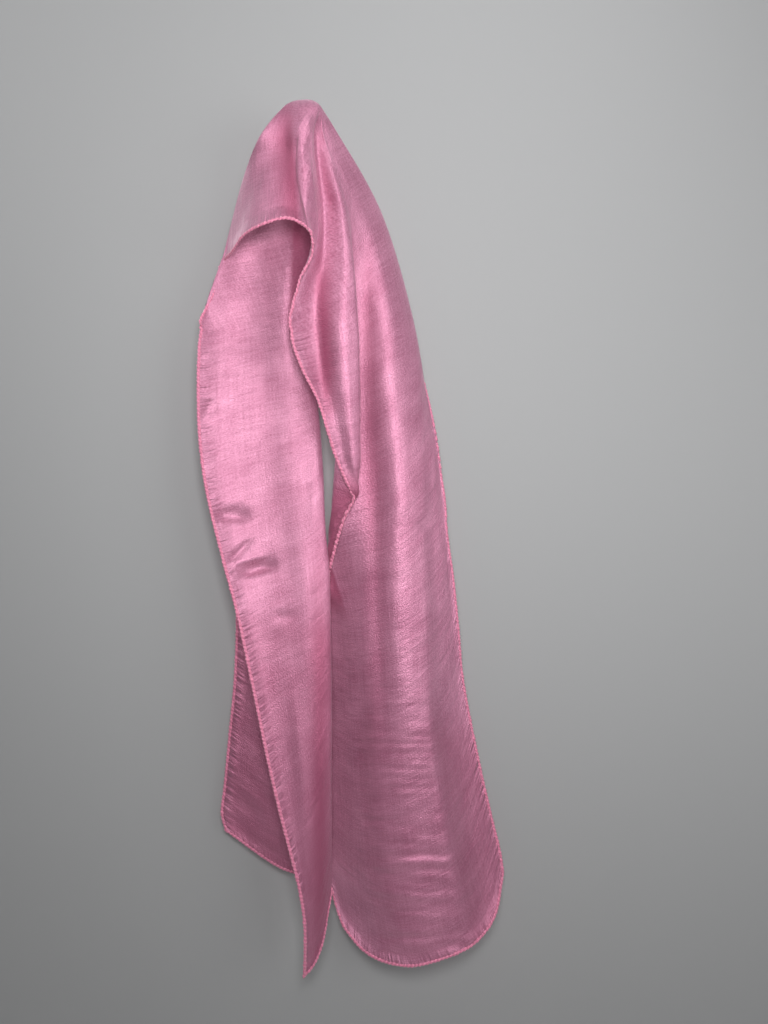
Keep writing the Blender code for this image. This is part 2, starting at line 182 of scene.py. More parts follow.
HOOD_ROWS = 62
ROW_CROWDING = 1.5
LINE_STEPS = 16
FRONT_STEPS = 10
BACK_STEPS = 3
RIGHT_TAIL_STEPS = (7, 7, 6, 5, 7, 8, 9, 5, 6)
LEFT_TAIL_STEPS = (6, 5, 5, 8, 8, 8, 10)
TAIL_ROWS = 285
SEAM_FADE = 22.0
WIDTH_SAMPLE_STEP = 10
INNER_ROW = -3


def in_place(across, height, out):
    """Table places as places in the frame, in millimetres, moved along their lines of sight."""
    scale = (EYE_DISTANCE + PEAK_OUT - out) / EYE_DISTANCE
    x = EYE_ACROSS + (across - EYE_ACROSS) * scale
    z = EYE_HEIGHT + (height - EYE_HEIGHT) * scale + PEAK_HEIGHT
    return np.stack(np.broadcast_arrays(x, -out, z), axis=-1)


def as_seen(places):
    """The reverse: how far across and how high the eye sees each place, at the peak's distance."""
    scale = (EYE_DISTANCE + PEAK_OUT + places[..., 1]) / EYE_DISTANCE
    across = EYE_ACROSS + (places[..., 0] - EYE_ACROSS) / scale
    height = EYE_HEIGHT + (places[..., 2] - PEAK_HEIGHT - EYE_HEIGHT) / scale
    return across, height


def eased(value, low, high):
    share = np.clip((value - low) / (high - low), 0.0, 1.0)
    return share * share * (3 - 2 * share)


def curve_at(points, places, closed=False):
    """Places on smooth curves through points along the first axis. Place 2.5 lies halfway from 2 to 3."""
    if closed:
        points = np.concatenate([points[-1:], points, points[:2]])
    else:
        points = np.concatenate([2 * points[:1] - points[1:2], points, 2 * points[-1:] - points[-2:-1]])
    gap = np.minimum(places.astype(int), len(points) - 4)
    share = (places - gap).reshape((-1,) + (1,) * (points.ndim - 1))
    layer = [points[gap + shift] for shift in range(4)]
    knots = [0.0]
    for first, second in zip(layer, layer[1:]):
        length = np.linalg.norm(second - first, axis=-1, keepdims=True)
        knots.append(knots[-1] + np.sqrt(np.maximum(length, MM)))
    here = knots[1] + (knots[2] - knots[1]) * share
    for width in (1, 2, 3):
        joined = []
        for index in range(len(layer) - 1):
            low = knots[index] if width < 3 else knots[1]
            high = knots[index + width] if width < 3 else knots[2]
            part = (here - low) / (high - low)
            joined.append(layer[index] * (1 - part) + layer[index + 1] * part)
        layer = joined
    return layer[0]


def travelled(points):
    """How far along each curve its points are. The curves run along the first axis."""
    steps = np.linalg.norm(np.diff(points, axis=0), axis=-1)
    return np.concatenate([np.zeros((1,) + steps.shape[1:]), np.cumsum(steps, axis=0)])


def over_knob(oval, rows, across=None):
    """Where each line of the hood crosses one of the ovals over the knob."""
    low, left, right, front, back = oval
    sideways = np.sin(np.radians(rows[:, 0]))
    forwards = np.cos(np.radians(rows[:, 0]))
    if across is None:
        across = np.where(sideways > 0, sideways * right, -left * np.minimum(1.0, -sideways / LEFT_FLATNESS))
    out = PEAK_OUT + forwards * np.where(forwards > 0, front, back)
    from_front = 180 - abs(180 - rows[:, 0])
    rise = max(0.0, OVER_STEM_HEIGHT - low) * eased(from_front, OVER_STEM_ANGLE, 180)
    true_place = np.stack([across, -out, low + rise + PEAK_HEIGHT], axis=-1)
    hidden = eased(from_front, HIDDEN_ANGLE, OVER_STEM_ANGLE)[:, None]
    return in_place(across, low, out) * (1 - hidden) + true_place * hidden


def tail_sections(table, ends):
    """Each section of a tail as places, lines along the second axis."""
    rows = np.array(table, float)
    share = (rows[:, :1] - rows[0, 0]) / (rows[-1, 0] - rows[0, 0])
    height = rows[0, 0] + (np.array(ends) - rows[0, 0]) * share
    return in_place(rows[:, 1::2], height, rows[:, 2::2])


def tail_grid(above, sections, columns):
    """A tail as a grid of places, columns first, with its top row at the hood's edge."""
    lines = np.concatenate([above[None], sections])
    drop = travelled(sections[:, :1])[:, 0]
    places = 1 + np.interp(np.linspace(0, drop[-1], TAIL_ROWS + 1), drop, np.arange(len(sections)))
    return curve_at(curve_at(lines, places).transpose(1, 0, 2), columns)


hood_rows = np.array(HOOD_FRONT_RIGHT + HOOD_TO_RIGHT_TAIL + HOOD_BACK + HOOD_TO_LEFT_TAIL + HOOD_FRONT_LEFT)
line_count = len(hood_rows)
right_first = len(HOOD_FRONT_RIGHT)
right_last = right_first + len(HOOD_TO_RIGHT_TAIL) - 1
left_first = right_last + len(HOOD_BACK) + 1
left_last = left_first + len(HOOD_TO_LEFT_TAIL) - 1
right_sections = tail_sections(RIGHT_TAIL, RIGHT_TAIL_END)
left_sections = tail_sections(LEFT_TAIL, LEFT_TAIL_END)[:, ::-1]

halfway = in_place(*hood_rows[:, HALFWAY_VALUES].T)
edge = in_place(*hood_rows[:, EDGE_VALUES].T)
for line in range(right_last + 1, left_first):
    for place, values in ((halfway, HALFWAY_VALUES), (edge, EDGE_VALUES)):
        across, height, out = hood_rows[line, values]
        place[line] = (across, -out, height + PEAK_HEIGHT)
beyond = 2 * edge - halfway
beyond[right_first:right_last + 1] = right_sections[1]
beyond[left_first:left_last + 1] = left_sections[1]
peak = in_place(0.0, 0.0, PEAK_OUT)
knob_places = [over_knob(CAP_OVAL, hood_rows), over_knob(SHOULDER_OVAL, hood_rows)]
knob_places.append(over_knob(UPPER_OVAL, hood_rows, hood_rows[:, 1]))
lines = np.stack([np.broadcast_to(peak, edge.shape)] + knob_places + [halfway, edge, beyond])
stretches = len(lines) - 2
lines = curve_at(lines, np.linspace(0, stretches, stretches * LINE_STEPS + 1))
line_length = travelled(lines)
row_share = (np.arange(HOOD_ROWS + 1) / HOOD_ROWS) ** ROW_CROWDING
spread = np.zeros((line_count, HOOD_ROWS + 1, 3))
for line in range(line_count):
    wanted = row_share * line_length[-1, line]
    for axis in range(3):
        spread[line, :, axis] = np.interp(wanted, line_length[:, line], lines[:, line, axis])

steps = [FRONT_STEPS] * right_first + list(RIGHT_TAIL_STEPS) + [BACK_STEPS] * (left_first - right_last)
steps += list(LEFT_TAIL_STEPS) + [FRONT_STEPS] * (line_count - left_last)
column_place = np.concatenate([gap + np.arange(count) / count for gap, count in enumerate(steps)])
column_count = len(column_place)
right_columns = np.arange(column_count)[(column_place >= right_first) & (column_place <= right_last)]
left_columns = np.arange(column_count)[(column_place >= left_first) & (column_place <= left_last)]
hood = curve_at(spread, column_place, closed=True)
right_place = column_place[right_columns] - right_first
left_place = column_place[left_columns] - left_first
right_tail = tail_grid(halfway[right_first:right_last + 1], right_sections, right_place)
left_tail = tail_grid(halfway[left_first:left_last + 1], left_sections, left_place)
for tail, columns in ((right_tail, right_columns), (left_tail, left_columns)):
    fade = 1 - eased(travelled(tail.transpose(1, 0, 2)).T, 0, SEAM_FADE)
    tail += (hood[columns, -1] - tail[:, 0])[:, None] * fade[..., None]

# The flat plan of the cloth, in millimetres: how far along from the peak, and how far in from the near hem.
front_hem = np.concatenate([hood[left_columns[-1]:, -1], hood[:right_columns[0] + 1, -1]])
front_along = travelled(front_hem)
back_along = travelled(hood[right_columns[-1]:left_columns[0] + 1, -1])
plan_along = np.zeros(column_count)
plan_across = np.zeros(column_count)
front_middle = front_along[column_count - left_columns[-1]]
plan_along[left_columns[-1]:] = front_along[:column_count - left_columns[-1]] - front_middle
plan_along[:right_columns[0] + 1] = front_along[column_count - left_columns[-1]:] - front_middle
plan_along[right_columns[-1]:left_columns[0] + 1] = back_along[-1] / 2 - back_along
plan_across[right_columns[-1]:left_columns[0] + 1] = SCARF_WIDTH
for tail, columns in ((right_tail, right_columns), (left_tail, left_columns)):
    width = travelled(tail[:, ::WIDTH_SAMPLE_STEP]).mean(axis=1)
    share = width / width[-1]
    plan_along[columns] = np.interp(share, (0, 1), plan_along[columns[[0, -1]]])
    plan_across[columns] = np.interp(share, (0, 1), plan_across[columns[[0, -1]]])

# Round the hood from the middle of the front, in lines: to the right is more, to the left is less.
# Each panel runs from one of these lines to another.
LEFT_RETURN = (-13.0, -10.4)
LEFT_FACE = (-10.2, -6.0)
ARCH = (-10.0, 5.0)
FLAP = (5.0, 8.1)
RIGHT_FACE = (8.9, 12.2)
RIGHT_TURN = (12.2, 14.0)
CREASE_FACET = (-10.0, -9.05)
BEHIND_FLAP = (5.0, 8.9)
PANEL_EDGE = 0.3

# Folds and dents pressed in: panel, across, height, half length, half width on the right hand and
# on the left as it is followed, turn in degrees, rise to the eye.
DENTS = (
    (ARCH, -12.5, -46.0, 38.0, 5.5, 12.0, 94, -6.5),
    (ARCH, -2.0, -39.0, 36.0, 9.0, 4.0, 94, 2.6),
    (ARCH, 0.0, -16.0, 6.0, 4.0, 4.0, 80, 1.0),
    (ARCH, 1.5, -12.0, 3.0, 0.9, 0.9, 60, 0.7),
    (ARCH, 0.5, -17.0, 3.0, 0.9, 0.9, 130, 0.7),
    (ARCH, 2.5, -20.0, 3.5, 0.9, 0.9, 20, 0.7),
    (ARCH, 0.6, -31.0, 6.0, 3.0, 3.0, 90, -1.4),
    (LEFT_FACE, -21.0, -108.0, 60.0, 8.0, 12.0, 88, 1.4),
    (ARCH, 6.0, -75.0, 24.0, 3.2, 3.2, 272, -1.5),
    (ARCH, -16.0, -95.0, 6.0, 1.2, 1.2, 30, -0.5),
    (FLAP, 10.4, -42.0, 28.0, 6.5, 6.0, 280, -2.6),
    (FLAP, 18.6, -60.0, 34.0, 6.0, 7.0, 283, 1.5),
    (FLAP, 5.5, -148.0, 48.0, 6.0, 4.0, 274, -2.0),
    (FLAP, 17.0, -152.0, 50.0, 6.5, 7.0, 273, 3.8),
    (FLAP, 14.4, -61.0, 4.0, 1.6, 1.6, 45, -0.9),
    (FLAP, 14.4, -61.0, 4.0, 1.6, 1.6, 135, -0.9),
    (LEFT_FACE, -63.0, -153.0, 4.0, 2.5, 2.5, 80, -0.8),
    (LEFT_FACE, -60.0, -187.0, 8.0, 4.0, 4.0, 60, -2.2),
    (LEFT_FACE, -25.0, -114.0, 3.5, 1.2, 1.2, 75, -0.5),
    (LEFT_FACE, -46.0, -250.0, 10.0, 3.0, 6.0, 0, -3.6),
    (LEFT_FACE, -41.0, -271.0, 9.0, 2.0, 2.0, 45, -2.0),
    (LEFT_FACE, -36.6, -276.0, 10.0, 2.0, 2.0, 17, 1.4),
    (LEFT_FACE, -29.4, -281.5, 10.0, 2.5, 5.5, 15, -3.8),
    (LEFT_FACE, 5.4, -225.0, 30.0, 3.0, 3.0, 88, 0.9),
    (LEFT_FACE, 6.0, -300.0, 35.0, 4.0, 4.0, 90, -1.0),
    (LEFT_FACE, -13.0, -310.0, 6.0, 3.0, 3.0, 0, -0.6),
    (LEFT_FACE, -3.0, -408.0, 48.0, 4.0, 4.0, 274, 1.1),
    (LEFT_RETURN, -41.0, -408.0, 15.0, 2.5, 2.5, 300, 1.4),
    (LEFT_RETURN, -38.0, -396.0, 16.0, 4.0, 4.0, 25, 1.6),
    (LEFT_RETURN, -36.0, -430.0, 12.0, 4.0, 3.0, 60, -1.8),
    (LEFT_RETURN, -26.0, -428.0, 14.0, 3.0, 3.0, 110, 1.4),
    (RIGHT_FACE, 28.5, -165.0, 66.0, 5.0, 10.0, 272, -4.0),
    (RIGHT_FACE, 43.5, -160.0, 60.0, 6.0, 10.0, 272, 1.6),
    (RIGHT_FACE, 72.0, -300.0, 84.0, 22.0, 11.0, 272, 2.6),
    (RIGHT_FACE, 43.0, -294.0, 80.0, 6.0, 6.0, 272, -2.0),
    (RIGHT_FACE, 54.0, -267.0, 9.0, 1.2, 1.2, 90, 0.5),
    (RIGHT_FACE, 74.0, -253.0, 7.0, 3.5, 3.5, 20, -2.0),
    (RIGHT_FACE, 80.0, -298.0, 9.0, 4.5, 4.5, 300, -2.2),
    (RIGHT_FACE, 84.0, -424.0, 74.0, 12.0, 9.0, 281, 3.6),
    (RIGHT_FACE, 107.0, -429.0, 50.0, 7.0, 5.0, 281, 2.2),
    (RIGHT_FACE, 32.0, -421.0, 9.0, 1.3, 1.3, 355, -0.8),
    (RIGHT_FACE, 37.0, -432.0, 19.0, 1.4, 1.4, 5, -0.9),
    (RIGHT_FACE, 65.0, -456.0, 21.0, 2.0, 2.0, 0, 0.6),
    (RIGHT_FACE, 33.0, -460.0, 19.0, 1.6, 1.6, 348, -1.0),
    (RIGHT_FACE, 50.0, -475.0, 27.0, 2.0, 2.0, 352, 0.6),
    (RIGHT_FACE, 62.0, -486.0, 12.0, 1.3, 1.3, 0, -0.7),
    (RIGHT_FACE, 20.0, -475.0, 9.0, 1.5, 1.5, 310, -0.8),
    (RIGHT_FACE, 56.0, -502.0, 18.0, 1.6, 1.6, 2, -0.8),
    (RIGHT_FACE, 94.0, -401.0, 7.0, 1.2, 1.2, 35, 0.7),
    (RIGHT_FACE, 98.0, -422.0, 7.0, 1.2, 1.2, 35, 0.7),
    (RIGHT_FACE, 103.0, -437.0, 7.0, 1.2, 1.2, 35, 0.7),
)

# Puckers that the tight edge stitching draws in. Their pitch wanders and their rise varies, both along and
# across the cloth.
PUCKER_PITCH = 5.4
PUCKER_REACH = 6.0
PUCKER_RISE = 0.16
PUCKER_LEAN = 0.25
PITCH_WAVE = (14.0, 60.0)
PITCH_WANDER = 0.8
PITCH_SEED = 3.0
RISE_WAVE = (23.0, 60.0)
RISE_VARIETY = 0.8
RISE_SEED = 5.0
# Where they are stronger: panel, upper and lower height, how much more they rise.
STRONG_PUCKER_SOFTNESS = 5.0
STRONG_PUCKERS = (
    (RIGHT_TURN, -192.0, -224.0, 0.9),
    (LEFT_FACE, -205.0, -232.0, 0.25),
    (LEFT_FACE, -294.0, -332.0, 0.2),
    (ARCH, -68.0, -95.0, 0.2),
)

# Folds painted darker and richer, as painted shade: the same columns, with how much painted shade at the
# end.
PAINTED_FOLD_SHADE = (
    (FLAP, 9.5, -140.0, 50.0, 4.5, 6.0, 273, 1.0),
    (FLAP, 10.0, -42.0, 28.0, 3.5, 4.0, 280, 0.5),
    (RIGHT_FACE, 37.0, -175.0, 80.0, 6.0, 7.0, 271, 0.5),
    (RIGHT_FACE, 88.0, -428.0, 74.0, 3.0, 12.0, 281, 0.3),
    (RIGHT_FACE, 41.0, -310.0, 80.0, 8.0, 7.0, 271, 0.42),
    (ARCH, -9.0, -44.0, 38.0, 3.0, 9.0, 94, 1.0),
    (LEFT_FACE, 8.0, -400.0, 130.0, 6.0, 6.0, 270, 0.6),
)

# Painted shade on layers tucked behind others or hanging turned away: panel, upper and lower height, how
# much shade.
TUCKED_EDGE = 0.08
TUCKED_SOFTNESS = 12.0
TUCKED_SHADE = (
    (CREASE_FACET, -60.0, -140.0, 0.7),
    (BEHIND_FLAP, -228.0, -305.0, 0.9),
    (LEFT_RETURN, -300.0, -480.0, 0.5),
    (LEFT_FACE, -312.0, -560.0, 0.3),
    (RIGHT_FACE, -375.0, -560.0, 0.15),
    (RIGHT_TURN, -375.0, -560.0, 0.35),
)

# Soft unevenness of the whole cloth: size along, size across, rise.
UNEVENNESS = ((34.0, 24.0, 0.55), (60.0, 6.0, 0.16), (9.0, 11.0, 0.12))
# Fine crinkles across the right tail: upper and lower height, size across, size down, rise.
CRINKLE_SOFTNESS = 8.0
CRINKLES = (
    (-315.0, -350.0, 22.0, 2.6, 0.18),
    (-350.0, -425.0, 28.0, 3.0, 0.5),
    (-425.0, -520.0, 32.0, 5.0, 0.9),
)
# The share of the hood's length, from the peak, over which its folds fade in.
PEAK_CALM = 0.06


def within(value, low, high, soft):
    return eased(value, low - soft, low + soft) * (1 - eased(value, high - soft, high + soft))


def ripple(first, second, seed):
    """Smooth uneven rises between -1 and 1. One unit of either value is about one wave."""
    flat = [noise.noise((a, b, seed)) for a, b in zip(first.ravel(), second.ravel())]
    return np.array(flat).reshape(first.shape)


def fold_shape(seen_across, seen_height, across, height, half_length, right_half, left_half, turn):
    """From 1 along the middle of a fold down to 0 round it."""
    cos, sin = math.cos(math.radians(turn)), math.sin(math.radians(turn))
    lengthways = (seen_across - across) * cos + (seen_height - height) * sin
    sideways = (seen_height - height) * cos - (seen_across - across) * sin
    half_width = np.where(sideways > 0, left_half, right_half)
    return np.exp(-(lengthways / half_length) ** 4 - (sideways / half_width) ** 2)


def pressed(grid, around, along, across, from_end):
    """The cloth with its dents, puckers, crinkles and unevenness, each rising towards the eye, and its
    painted shade.
    """
    seen_across, seen_height = as_seen(grid)
    rise = np.zeros(seen_across.shape)
    painted_shade = np.zeros(seen_across.shape)
    for size_along, size_across, height in UNEVENNESS:
        rise += height * ripple(along / size_along, across / size_across, size_along)
    for panel, *fold, height in DENTS:
        rise += height * (fold_shape(seen_across, seen_height, *fold) * within(around, *panel, PANEL_EDGE))
    for panel, *fold, shade_amount in PAINTED_FOLD_SHADE:
        painted_shade += shade_amount * fold_shape(seen_across, seen_height, *fold) * within(around, *panel, PANEL_EDGE)
    for panel, top, bottom, shade_amount in TUCKED_SHADE:
        mask = within(around, *panel, TUCKED_EDGE) * within(-seen_height, -top, -bottom, TUCKED_SOFTNESS)
        painted_shade += shade_amount * mask
    for top, bottom, size_across, size_down, height in CRINKLES:
        mask = within(around, *RIGHT_FACE, PANEL_EDGE)
        mask = mask * within(-seen_height, -top, -bottom, CRINKLE_SOFTNESS)
        rise += height * mask * ripple(seen_across / size_across, seen_height / size_down, size_down)
    side_hem = np.minimum(across, SCARF_WIDTH - across)
    uneven = ripple(along / PITCH_WAVE[0], across / PITCH_WAVE[1], PITCH_SEED)
    varied = ripple(along / RISE_WAVE[0], across / RISE_WAVE[1], RISE_SEED)
    strength = PUCKER_RISE * (1 + RISE_VARIETY * varied)
    for panel, top, bottom, height in STRONG_PUCKERS:
        mask = within(around, *panel, PANEL_EDGE)
        strength += height * mask * within(-seen_height, -top, -bottom, STRONG_PUCKER_SOFTNESS)
    turns = 2 * np.pi * (along / PUCKER_PITCH + PITCH_WANDER * uneven)
    rise += strength * np.exp(-(side_hem / PUCKER_REACH) ** 2) * np.sin(turns + PUCKER_LEAN * side_hem)
    turns = 2 * np.pi * (across / PUCKER_PITCH + PITCH_WANDER * uneven)
    rise += PUCKER_RISE * np.exp(-(from_end / PUCKER_REACH) ** 2) * np.sin(turns)
    to_eye = np.array([EYE_ACROSS, -EYE_DISTANCE - PEAK_OUT, EYE_HEIGHT + PEAK_HEIGHT]) - grid
    to_eye /= np.linalg.norm(to_eye, axis=-1, keepdims=True)
    return grid + to_eye * rise[..., None], np.clip(painted_shade, 0.0, 1.0)


turn_place = np.where(column_place > (right_last + left_first) / 2, column_place - line_count, column_place)
hood_share = row_share[None, :]
hood_along = plan_along[:, None] * hood_share
hood_across = PEAK_FROM_NEAR_HEM + (plan_across[:, None] - PEAK_FROM_NEAR_HEM) * hood_share
far_from_end = np.full(hood_along.shape, SCARF_WIDTH)
around = np.broadcast_to(turn_place[:, None], hood_along.shape)
hood_calm = eased(row_share, 0, PEAK_CALM)[None, :, None]
hood_pressed, hood_painted_shade = pressed(hood, around, hood_along, hood_across, far_from_end)
hood_pressed = hood * (1 - hood_calm) + hood_pressed * hood_calm
tails = []
for tail, columns, sign in ((right_tail, right_columns, 1), (left_tail, left_columns, -1)):
    down = travelled(tail.transpose(1, 0, 2)).T
    end = (plan_along[columns] + sign * down[:, -1]).mean()
    tail_along = plan_along[columns][:, None] + (end - plan_along[columns][:, None]) * down / down[:, -1:]
    tail_across = np.broadcast_to(plan_across[columns][:, None], down.shape)
    around = np.broadcast_to(turn_place[columns][:, None], down.shape)
    tail_pressed, tail_painted_shade = pressed(tail, around, tail_along, tail_across, down[:, -1:] - down)
    tails.append((tail_pressed, tail_along, tail_across, down[:, -1:] - down, tail_painted_shade))

corners = [hood_pressed[0, :1]]
from_hems = [np.full((1, 2), SCARF_WIDTH)]
painted_shades = [np.zeros(1), hood_painted_shade[:, 1:].T.ravel()]
plan = [np.array([[0.0, PEAK_FROM_NEAR_HEM]])]
numbers = np.zeros((HOOD_ROWS + 1, column_count), int)
numbers[1:] = 1 + np.arange(HOOD_ROWS * column_count).reshape(HOOD_ROWS, column_count)
corners.append(hood_pressed[:, 1:].transpose(1, 0, 2).reshape(-1, 3))
plan.append(np.stack([hood_along, hood_across], axis=-1)[:, 1:].transpose(1, 0, 2).reshape(-1, 2))
side_hem = np.minimum(hood_across, SCARF_WIDTH - hood_across)
from_hems.append(np.stack([side_hem, far_from_end], axis=-1)[:, 1:].transpose(1, 0, 2).reshape(-1, 2))
faces = [(0, numbers[1, column], numbers[1, (column + 1) % column_count]) for column in range(column_count)]


def add_faces(grid, closed):
    after = np.roll(grid, -1, axis=1)
    quads = np.stack([grid[:-1], grid[1:], after[1:], after[:-1]], axis=-1)
    if not closed:
        quads = quads[:, :-1]
    faces.extend(quads.reshape(-1, 4).tolist())


add_faces(numbers[1:], True)
start = 1 + HOOD_ROWS * column_count
for cloth, columns in zip(tails, (right_columns, left_columns)):
    tail, tail_along, tail_across, from_end, tail_painted_shade = cloth
    tail_numbers = np.zeros((TAIL_ROWS + 1, len(columns)), int)
    tail_numbers[0] = numbers[-1, columns]
    tail_numbers[1:] = start + np.arange(TAIL_ROWS * len(columns)).reshape(TAIL_ROWS, -1)
    start += TAIL_ROWS * len(columns)
    corners.append(tail[:, 1:].transpose(1, 0, 2).reshape(-1, 3))
    plan.append(np.stack([tail_along, tail_across], axis=-1)[:, 1:].transpose(1, 0, 2).reshape(-1, 2))
    side_hem = np.minimum(tail_across, SCARF_WIDTH - tail_across)
    from_hems.append(np.stack([side_hem, from_end], axis=-1)[:, 1:].transpose(1, 0, 2).reshape(-1, 2))
    painted_shades.append(tail_painted_shade[:, 1:].T.ravel())
    add_faces(tail_numbers, False)

silk_mesh = bpy.data.meshes.new("silk_scarf")
silk_mesh.from_pydata((np.concatenate(corners) * MM).tolist(), [], faces)
plan_map = silk_mesh.uv_layers.new(name="plan")
corner_of_loop = np.zeros(len(silk_mesh.loops), int)
silk_mesh.loops.foreach_get("vertex_index", corner_of_loop)
plan_map.data.foreach_set("uv", (np.concatenate(plan) * MM)[corner_of_loop].ravel())
hem_map = silk_mesh.uv_layers.new(name="from_hems")
hem_map.data.foreach_set("uv", (np.concatenate(from_hems) * MM)[corner_of_loop].ravel())
# The painted shade of folds and tucked layers, kept on each corner of the cloth.
hollow_shade = silk_mesh.attributes.new("painted_shade", "FLOAT", "POINT")
hollow_shade.data.foreach_set("value", np.concatenate(painted_shades))
silk_mesh.shade_smooth()
silk = bpy.data.objects.new("silk_scarf", silk_mesh)
bpy.context.scene.collection.objects.link(silk)
bpy.context.view_layer.objects.active = silk
silk.select_set(True)
wall = silk.modifiers.new("wall", "SOLIDIFY")
wall.thickness = SILK_THICKNESS * MM
wall.offset = 0.0
bpy.ops.object.modifier_apply(modifier=wall.name)
silk.select_set(False)


class Shade:
    """A socket of a material. Sums and products of sockets are written as plain expressions."""

    def __init__(self, tree, socket=None):
        self.tree = tree
        self.socket = socket

    def node(self, kind, settings, inputs, output=0):
        node = self.tree.nodes.new(kind)
        for name, value in settings.items():
            setattr(node, name, value)
        for name, value in inputs.items():
            if isinstance(value, Shade):
                self.tree.links.new(value.socket, node.inputs[name])
            else:
                node.inputs[name].default_value = value
        return Shade(self.tree, node.outputs[output])

    def math(self, operation, first, second):
        return self.node("ShaderNodeMath", {"operation": operation}, {0: first, 1: second})

    def __add__(self, other):
        return self.math("ADD", self, other)

    def __sub__(self, other):
        return self.math("SUBTRACT", self, other)

    def __rsub__(self, other):
        return self.math("SUBTRACT", other, self)

    def __mul__(self, other):
        return self.math("MULTIPLY", self, other)

    __radd__ = __add__
    __rmul__ = __mul__

    def stretched(self, scales):
        return self.node("ShaderNodeVectorMath", {"operation": "MULTIPLY"}, {0: self, 1: scales})

    def grain(self, scales, detail):
        place = self.stretched(scales)
        return self.node("ShaderNodeTexNoise", {}, {"Vector": place, "Scale": 1.0, "Detail": detail})

    def faded(self, reach):
        """From 1 where the value is nought down to 0 at the reach."""
        return self.node("ShaderNodeMapRange", {"interpolation_type": "SMOOTHSTEP"},
                         {"Value": self, "From Min": 0.0, "From Max": reach, "To Min": 1.0, "To Max": 0.0})

    def mixed(self, first, second):
        return self.node("ShaderNodeMix", {"data_type": "RGBA"}, {0: self, 6: first, 7: second}, 2)

    def bumped(self, strength, depth):
        return self.node("ShaderNodeBump", {}, {"Strength": strength, "Distance": depth, "Height": self})

    def into(self, socket):
        self.tree.links.new(self.socket, socket)


def paint(name, roughness):
    """A new material with its shader and a start for its nodes."""
    material = bpy.data.materials.new(name)
    material.use_nodes = True
    shader = material.node_tree.nodes["Principled BSDF"]
    shader.inputs["Roughness"].default_value = roughness
    return material, shader, Shade(material.node_tree)


GATHER_REACH = 0.009
SILK_PINK = (0.58, 0.25, 0.37, 1.0)
SILK_DEEP = (0.31, 0.09, 0.165, 1.0)
# The colour of painted shade, which folds and tucked layers are darkened towards.
SILK_PAINTED_SHADE = (0.28, 0.048, 0.11, 1.0)
SILK_SHEEN = (0.85, 0.6, 0.73, 1.0)
SILK_ROUGHNESS = 0.5
LEAST_ROUGHNESS = 0.4
ROUGHNESS_SPREAD = 0.2
SILK_METALLIC = 0.5
SILK_SPECULAR = 0.75
SHEEN_WEIGHT = 0.3
SHEEN_ROUGHNESS = 0.5
# Grains of the silk: waves in a metre along the scarf and across it, then how finely each is broken up.
SLUBS = ((1150.0, 70.0, 0.0), 3.0)
CREPE = ((1500.0, 1100.0, 0.0), 2.0)
CLOUDS = ((60.0, 45.0, 0.0), 4.0)
SIDE_GATHERS = ((330.0, 45.0, 0.0), 2.0)
END_GATHERS = ((45.0, 330.0, 0.0), 2.0)
CREASES = ((190.0, 50.0, 0.0), 3.0)
WARPS = ((40.0, 700.0, 0.0), 2.0)
# How much each grain gives to the weave's tone and to its relief.
SLUB_TONE = 0.3
CREPE_TONE = 0.5
WARP_TONE = 0.2
WEAVE_CONTRAST = 2.6
TONE_DROP = 1.35
DARKEST_SHADE = 0.95
SLUB_RELIEF = 0.25
GATHER_RELIEF = 9.0
CREASE_RELIEF = 1.9
RELIEF_STRENGTH = 0.85
RELIEF_DEPTH = 0.0004
silk_paint, shader, start_node = paint("pink_silk", SILK_ROUGHNESS)
shader.inputs["Metallic"].default_value = SILK_METALLIC
plan_place = start_node.node("ShaderNodeUVMap", {"uv_map": "plan"}, {})
hem_place = start_node.node("ShaderNodeUVMap", {"uv_map": "from_hems"}, {})
from_side = hem_place.node("ShaderNodeSeparateXYZ", {}, {"Vector": hem_place})
from_end = hem_place.node("ShaderNodeSeparateXYZ", {}, {"Vector": hem_place}, 1)
slubs = plan_place.grain(*SLUBS)
crepe = plan_place.grain(*CREPE)
cloudy = plan_place.grain(*CLOUDS)
side_gathers = plan_place.grain(*SIDE_GATHERS) * from_side.faded(GATHER_REACH)
end_gathers = plan_place.grain(*END_GATHERS) * from_end.faded(GATHER_REACH)
creases = plan_place.grain(*CREASES)
warps = plan_place.grain(*WARPS)
weave = slubs * SLUB_TONE + crepe * CREPE_TONE + warps * WARP_TONE
tone = weave * WEAVE_CONTRAST + cloudy - TONE_DROP
# The silk's colour: a random tone from its weave, painted darker and richer as painted shade in folds and
# tucked layers.
painted_shade = start_node.node("ShaderNodeAttribute", {"attribute_name": "painted_shade"}, {}, "Fac")
colour = (painted_shade * DARKEST_SHADE).mixed(tone.mixed(SILK_DEEP, SILK_PINK), SILK_PAINTED_SHADE)
colour.into(shader.inputs["Base Color"])
(crepe * ROUGHNESS_SPREAD + LEAST_ROUGHNESS).into(shader.inputs["Roughness"])
gathers = side_gathers + end_gathers
relief = crepe + slubs * SLUB_RELIEF + gathers * GATHER_RELIEF + creases * CREASE_RELIEF
relief.bumped(RELIEF_STRENGTH, RELIEF_DEPTH).into(shader.inputs["Normal"])
shader.inputs["Sheen Weight"].default_value = SHEEN_WEIGHT
shader.inputs["Sheen Roughness"].default_value = SHEEN_ROUGHNESS
shader.inputs["Sheen Tint"].default_value = SILK_SHEEN
shader.inputs["Specular IOR Level"].default_value = SILK_SPECULAR
silk.data.materials.append(silk_paint)
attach(silk, "root")
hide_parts("scarf_hood", "scarf_left_tail", "scarf_right_tail")


